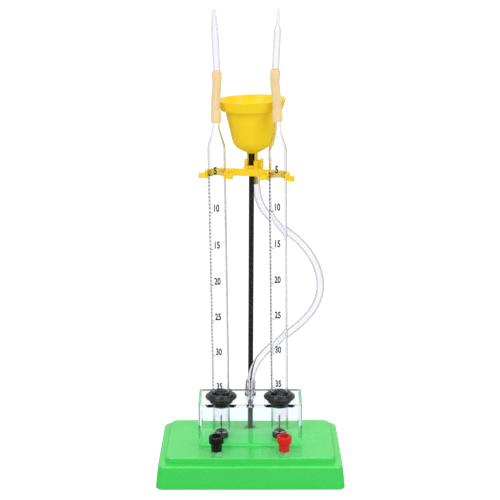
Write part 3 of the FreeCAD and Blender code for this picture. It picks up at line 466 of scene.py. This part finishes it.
# Latex sleeves from the gas tubes' necks to the glass tips
# Heights and runs are in millimetres along the tube, leans in degrees from upright.
# SLEEVE_FOOT and SLEEVE_HEAD give the radius of each swollen end and its length.

TUBE_FOOT_HEIGHT = 69.74
TUBE_PITCH = 55.0
TUBE_SETBACK = 0.5

SLEEVE_FOOT_HEIGHT = 260.5
SLEEVE_BEND_HEIGHT = 278
SLEEVE_MIDDLE = 17
SLEEVE_END = 11
SLEEVE_SHIFT = {"left": -1.2, "right": 1.6}
SLEEVE_LEAN = {"left": (4.8, -2.4), "right": (-7.7, 2.7)}
SLEEVE_RADIUS = 4.0 * MM
SLEEVE_FOOT = (4.5 * MM, 8.5 * MM)
SLEEVE_HEAD = (4.3 * MM, 6.8 * MM)
SLEEVE_TAPER = 3 * MM
SLEEVE_GRIP = 3.15 * MM
SLEEVE_LIP = 0.5 * MM
SLEEVE_STEPS = 24
SHARES_BELOW_BEND = (0, 0.35, 0.7)


def tube_frame(side):
    """Place of a gas tube: its seat in the lid, with z up along the glass."""
    axis = Vector(JOINTS[side + "_tube_slide"]["axis"])
    seat = millimetres(SIDES[side] * TUBE_PITCH / 2, TUBE_SETBACK, TUBE_FOOT_HEIGHT)
    right = Vector((1, 0, 0))
    right = (right - right.dot(axis) * axis).normalized()
    back = axis.cross(right)
    turn = Matrix((right, back, axis)).transposed().to_4x4()
    return Matrix.Translation(seat) @ turn


def sleeve_corners(side):
    """Foot, first bend, second bend and head of a sleeve, which leans twice above the tube."""
    place = tube_frame(side)
    shift = SLEEVE_SHIFT[side]
    corners = [place @ millimetres(0, 0, SLEEVE_FOOT_HEIGHT + shift),
               place @ millimetres(0, 0, SLEEVE_BEND_HEIGHT)]
    across = place.col[2].y
    for lean, run in zip(SLEEVE_LEAN[side], (SLEEVE_MIDDLE, SLEEVE_END + shift)):
        heading = Vector((math.tan(math.radians(lean)), across, 1)).normalized()
        corners.append(corners[-1] + heading * run * MM)
    return corners


for side in SIDES:
    corners = sleeve_corners(side)
    lower = [corners[0].lerp(corners[1], share) for share in SHARES_BELOW_BEND]
    upper = [corners[2], corners[2].lerp(corners[3], 0.5), corners[3]]
    sleeve_points = spline_points(lower + [corners[1]] + upper, SLEEVE_STEPS)
    sleeve_run = distances(sleeve_points)[-1]

    def sleeve_radius(distance, run=sleeve_run):
        """Swells over the glass at both ends and rounds off at the lips."""
        foot = 1 - smoothstep(distance, SLEEVE_FOOT[1], SLEEVE_FOOT[1] + SLEEVE_TAPER)
        head = smoothstep(distance, run - SLEEVE_HEAD[1] - SLEEVE_TAPER, run - SLEEVE_HEAD[1])
        lip = min(distance, run - distance, SLEEVE_LIP) / SLEEVE_LIP
        rounding = SLEEVE_LIP * (1 - math.sqrt(1 - (1 - lip) ** 2)) / 2
        return (SLEEVE_RADIUS + foot * (SLEEVE_FOOT[0] - SLEEVE_RADIUS)
                + head * (SLEEVE_HEAD[0] - SLEEVE_RADIUS) - rounding)

    sleeve = hollow_sweep(side + "_sleeve", sleeve_points, sleeve_radius, lambda d: SLEEVE_GRIP)
    sleeve.data.materials.append(LATEX)
    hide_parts(side + "_latex_sleeve")
    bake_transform(sleeve)


# Glue that lets the base's green show through the tank's floor, in a lighter green than the base
# that is painted light

GLUE_LIFT = 0.06
GLUE_INSET = 0.15


def glue_under(name, node):
    """A thin green sheet just inside the foot of a clear piece that is glued to the base; its
    lighter green is painted light.
    """
    low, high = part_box(node)
    inset = GLUE_INSET * MM
    mesh = bpy.data.meshes.new(name)
    work = bmesh.new()
    corners = [(low[0] + inset, low[1] + inset), (high[0] - inset, low[1] + inset),
               (high[0] - inset, high[1] - inset), (low[0] + inset, high[1] - inset)]
    work.faces.new([work.verts.new((x, y, low[2] + GLUE_LIFT * MM)) for x, y in corners])
    work.to_mesh(mesh)
    work.free()
    mesh.materials.append(GLUE_GREEN_PAINTED_LIGHT)
    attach(add_object(name, mesh), "root")


glue_under("tank_glue", "tank_body")


# Graduations and numerals printed on the gas tubes
# Lengths are in millimetres, and angles in degrees round the tube, 270 at its front.

PRINT_RADIUS = 8.03
FRONT_ANGLE = 270
MARK_STEP = 3.4
MARKS_PER_FIVE = 10
FIRST_MARK = {"left": 282.6, "right": 285.8}
NUMERALS = (5, 10, 15, 20, 25, 30, 35)
MARK_WEIGHT = {"short": 0.8, "long": 0.5}
MARK_START = 168
MARK_REACH = {"short": 204, "long": 240}
MARK_FACET = 6
NUMERAL_HEIGHT = 6.8
NUMERAL_RISE = 1.2
NUMERAL_WIDTH = 0.66
NUMERAL_SHIFT = -1.1
NUMERAL_SLICE = 0.5
NUMERAL_BOLDNESS = 0.034
NUMERAL_STEPS = 6


def on_tube(place, across, height):
    """A point of the tube's skin, across millimetres to the right of its front line."""
    angle = across / PRINT_RADIUS
    return place @ millimetres(
        PRINT_RADIUS * math.sin(angle), -PRINT_RADIUS * math.cos(angle), height)


def mark_height(side, index):
    """Height on the tube of a mark, counted down from the one at the first numeral."""
    return FIRST_MARK[side] - TUBE_FOOT_HEIGHT - index * MARK_STEP


def print_marks(side):
    """One short line round the left of the tube for each half millilitre."""
    place = tube_frame(side)
    work = bmesh.new()
    for index in range(MARKS_PER_FIVE * (len(NUMERALS) - 1) + 1):
        height = mark_height(side, index)
        reach = "short" if index % MARKS_PER_FIVE else "long"
        arc = MARK_REACH[reach] - MARK_START
        half = MARK_WEIGHT[reach] / 2
        steps = arc // MARK_FACET
        lower, upper = [], []
        for step in range(steps + 1):
            angle = MARK_START + arc * step / steps - FRONT_ANGLE
            across = math.radians(angle) * PRINT_RADIUS
            lower.append(work.verts.new(on_tube(place, across, height - half)))
            upper.append(work.verts.new(on_tube(place, across, height + half)))
        for step in range(steps):
            work.faces.new((lower[step], lower[step + 1], upper[step + 1], upper[step]))
    mesh = bpy.data.meshes.new(side + "_scale_marks")
    work.to_mesh(mesh)
    work.free()
    return mesh


def flat_numeral(numeral):
    """A numeral at its printed size, standing on y = 0 and cut into narrow upright slices."""
    text = bpy.data.curves.new("numeral", "FONT")
    text.body = str(numeral)
    text.align_x = "CENTER"
    text.offset = NUMERAL_BOLDNESS
    text.resolution_u = NUMERAL_STEPS
    letters = bpy.data.objects.new("numeral", text)
    flat = bpy.data.meshes.new_from_object(letters)
    low = min(v.co.y for v in flat.vertices)
    size = NUMERAL_HEIGHT / (max(v.co.y for v in flat.vertices) - low)
    part = bmesh.new()
    part.from_mesh(flat)
    bpy.data.objects.remove(letters)
    bpy.data.curves.remove(text)
    bpy.data.meshes.remove(flat)
    for vertex in part.verts:
        vertex.co.x *= size * NUMERAL_WIDTH
        vertex.co.y = (vertex.co.y - low) * size
    edge = math.ceil(max(v.co.x for v in part.verts))
    cut = -edge
    while cut < edge:
        geometry = part.verts[:] + part.edges[:] + part.faces[:]
        bmesh.ops.bisect_plane(part, geom=geometry, plane_co=(cut, 0, 0), plane_no=(1, 0, 0))
        cut += NUMERAL_SLICE
    return part


def print_numerals(side):
    """The numerals, wrapped round the tube beside their marks."""
    place = tube_frame(side)
    work = bmesh.new()
    for index, numeral in enumerate(NUMERALS):
        part = flat_numeral(numeral)
        foot = mark_height(side, index * MARKS_PER_FIVE) + NUMERAL_RISE
        for vertex in part.verts:
            vertex.co = on_tube(place, vertex.co.x + NUMERAL_SHIFT, foot + vertex.co.y)
        wrapped = bpy.data.meshes.new("wrapped")
        part.to_mesh(wrapped)
        part.free()
        work.from_mesh(wrapped)
        bpy.data.meshes.remove(wrapped)
    mesh = bpy.data.meshes.new(side + "_scale_numerals")
    work.to_mesh(mesh)
    work.free()
    return mesh


for side in SIDES:
    for mesh in (print_marks(side), print_numerals(side)):
        mesh.materials.append(INK)
        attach(add_object(mesh.name, mesh), side + "_tube")


# White surroundings, floor and soft lamps
# What is seen straight or through glass is white; a gloss reflects a dimmer sky and floor.

AMBIENT = 0.66
SKY_DIM = 0.15
SKY_LEAN = 0.5
SKY_DARK_BELOW = -0.4
SKY_FULL_ABOVE = 0.6
FLOOR_SIZE = 40
FLOOR_DROP = 0.0002
FLOOR_PATCH = 0.4
FLOOR_TONES = (0.86, 0.88)
FLOOR_GLOW = 0.86
FLOOR_SHADE = 0.32
FLOOR_MIRRORED = 0.2
LAMP_AIM = (0, 0, 0.15)
LAMPS = (
    ("key_lamp", (-0.9, -1.1, 1.5), 0.9, 10),
    ("fill_lamp", (1.1, -1.0, 1.1), 0.9, 7),
    ("top_lamp", (0.1, 0.3, 1.7), 1.1, 6.5),
)


def mixed(tree, share, first, second):
    """The first shader where the share is 0, the second where it is 1."""
    mix = tree.nodes.new("ShaderNodeMixShader")
    for source, target in zip((share, first, second), mix.inputs):
        tree.links.new(source, target)
    return mix.outputs["Shader"]


def ray_share(tree, operation, kind):
    """Works out a share from whether a ray is of one kind and whether it crosses glass."""
    path = tree.nodes.new("ShaderNodeLightPath")
    result = tree.nodes.new("ShaderNodeMath")
    result.operation = operation
    result.use_clamp = True
    tree.links.new(path.outputs[kind], result.inputs[0])
    tree.links.new(path.outputs["Is Transmission Ray"], result.inputs[1])
    return result.outputs[0]


def seen_directly(tree):
    """1 for rays that show the surroundings straight or through glass."""
    return ray_share(tree, "MAXIMUM", "Is Camera Ray")


def mirrored(tree):
    """1 for rays off a gloss. Rays through glass count as glossy too, and are taken off."""
    return ray_share(tree, "SUBTRACT", "Is Glossy Ray")


def sky(tree, strength):
    """White surroundings of one strength."""
    background = tree.nodes.new("ShaderNodeBackground")
    background.inputs["Strength"].default_value = strength
    background.inputs["Color"].default_value = WHITE
    return background.outputs["Background"]


def gradient_sky(tree):
    """White surroundings that are dim in front and below, and full behind and overhead."""
    heading = tree.nodes.new("ShaderNodeSeparateXYZ")
    tree.links.new(tree.nodes.new("ShaderNodeTexCoord").outputs["Generated"],
                   heading.inputs[0])
    behind = tree.nodes.new("ShaderNodeMath")
    behind.operation = "MULTIPLY"
    behind.inputs[1].default_value = SKY_LEAN
    tree.links.new(heading.outputs["Y"], behind.inputs[0])
    overhead = tree.nodes.new("ShaderNodeMath")
    tree.links.new(behind.outputs[0], overhead.inputs[0])
    tree.links.new(heading.outputs["Z"], overhead.inputs[1])
    gradient = tree.nodes.new("ShaderNodeMapRange")
    gradient.inputs["From Min"].default_value = SKY_DARK_BELOW
    gradient.inputs["From Max"].default_value = SKY_FULL_ABOVE
    gradient.inputs["To Min"].default_value = SKY_DIM
    tree.links.new(overhead.outputs[0], gradient.inputs["Value"])
    studio = sky(tree, 1)
    tree.links.new(gradient.outputs["Result"], studio.node.inputs["Strength"])
    return studio


world = bpy.data.worlds.new("surroundings")
world.use_nodes = True
scene.world = world
tree = world.node_tree
tree.nodes.clear()
studio = gradient_sky(tree)
lit = mixed(tree, seen_directly(tree), sky(tree, AMBIENT), sky(tree, 1))
world_output = tree.nodes.new("ShaderNodeOutputWorld")
tree.links.new(mixed(tree, mirrored(tree), lit, studio), world_output.inputs["Surface"])

floor_paint = Paint("floor_white", Roughness=0.9, Specular_IOR_Level=0)
floor_paint.colour_by(floor_paint.noise(FLOOR_PATCH, detail=2),
                      *(grey(value) for value in FLOOR_TONES))
shade = floor_paint.add("BsdfDiffuse", Color=grey(FLOOR_SHADE))
glow = floor_paint.add("Emission", Color=WHITE, Strength=FLOOR_GLOW)
glimpse = floor_paint.add("Emission", Color=WHITE, Strength=FLOOR_MIRRORED)
shaded = floor_paint.add("AddShader")
floor_paint.link(shade.outputs["BSDF"], shaded.inputs[0])
floor_paint.link(glow.outputs["Emission"], shaded.inputs[1])
floor_tree = floor_paint.tree
plain = mixed(floor_tree, seen_directly(floor_tree), floor_paint.shader.outputs["BSDF"],
              shaded.outputs["Shader"])
floor_paint.link(mixed(floor_tree, mirrored(floor_tree), plain, glimpse.outputs["Emission"]),
                 floor_paint.output.inputs["Surface"])
floor_mesh = bpy.data.meshes.new("floor")
floor_work = bmesh.new()
bmesh.ops.create_grid(floor_work, x_segments=1, y_segments=1, size=FLOOR_SIZE / 2)
floor_work.to_mesh(floor_mesh)
floor_work.free()
floor_mesh.materials.append(floor_paint.material)
floor = add_object("floor", floor_mesh)
floor.location.z = -FLOOR_DROP

for name, place, width, power in LAMPS:
    lamp_data = bpy.data.lights.new(name, "AREA")
    lamp_data.shape = "SQUARE"
    lamp_data.size = width
    lamp_data.energy = power
    lamp = add_object(name, lamp_data)
    lamp.location = place
    aim = Vector(LAMP_AIM) - lamp.location
    lamp.rotation_euler = aim.to_track_quat("-Z", "Y").to_euler()
